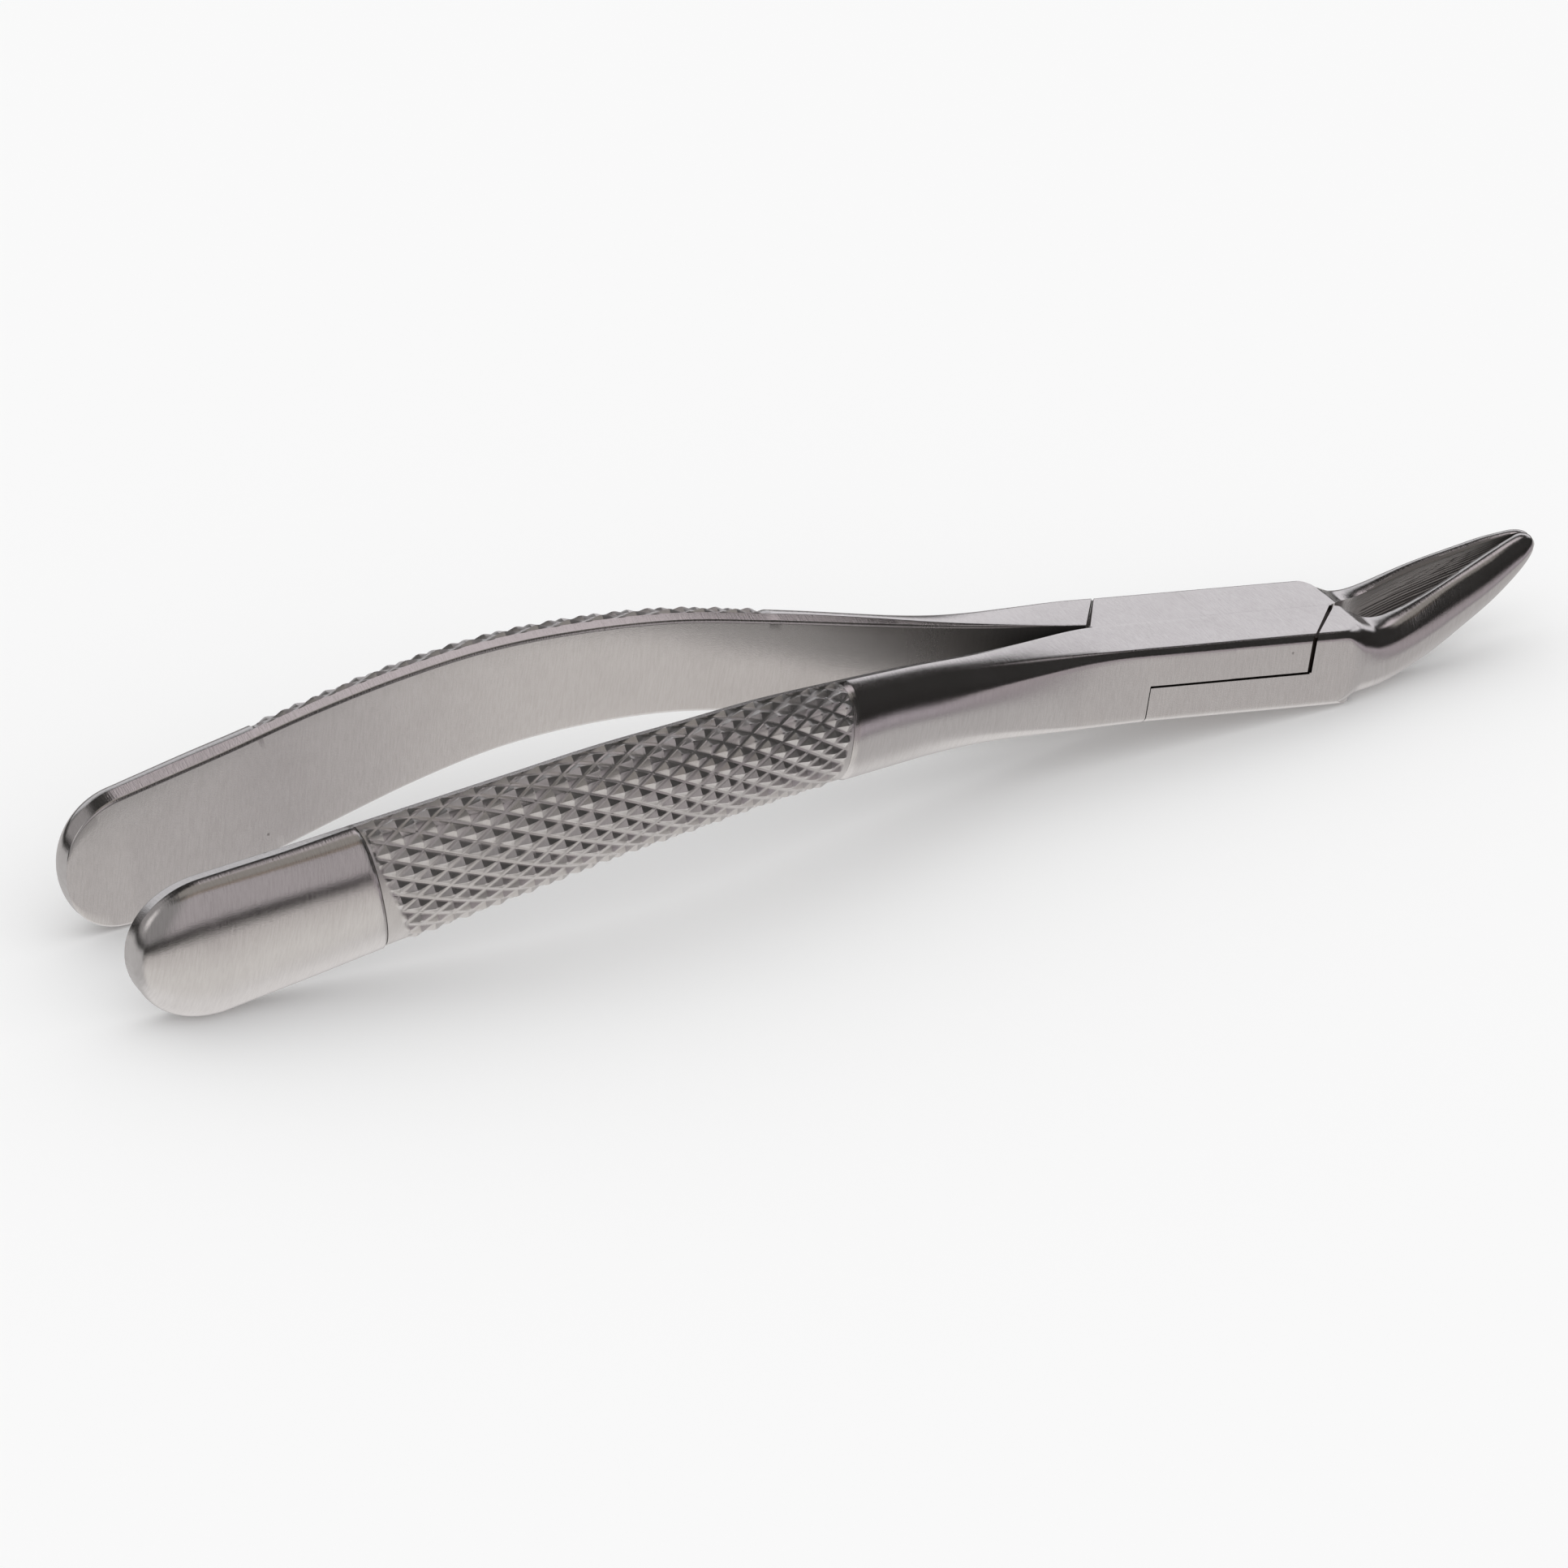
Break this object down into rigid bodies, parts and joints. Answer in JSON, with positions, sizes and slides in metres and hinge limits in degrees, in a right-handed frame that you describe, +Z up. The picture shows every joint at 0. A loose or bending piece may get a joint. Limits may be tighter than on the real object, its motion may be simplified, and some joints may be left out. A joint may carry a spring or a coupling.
{
  "type": "dental extraction forceps",
  "caption": "Upper universal dental extraction forceps: two knurled, curved handles crossing in a lap joint to upturned hollow beaks.",
  "frame": {"origin": "middle of the bounding box's bottom, with the forceps lying closed on a table", "axes": "+X along the instrument from the handle ends to the beak tips, +Z up from the table, the pin axis leaning 8.8 degrees forward of +Z"},
  "size_m": [0.1656, 0.0336, 0.0206],
  "materials": {
    "satin_steel": "satin-brushed stainless steel, knurled grips",
    "pin_steel": "ground flush stainless steel"
  },
  "bodies": {
    "over": {"half_over": "satin_steel", "pivot_pin": "pin_steel"},
    "under": {"half_under": "satin_steel"}
  },
  "joints": [
    {"name": "open_forceps", "type": "hinge", "parent": "over", "child": "under", "pos_m": [0.04258, 0, 0.00658], "axis": [-0.153, 0, -0.9882], "range_deg": [0, 40]}
  ]
}
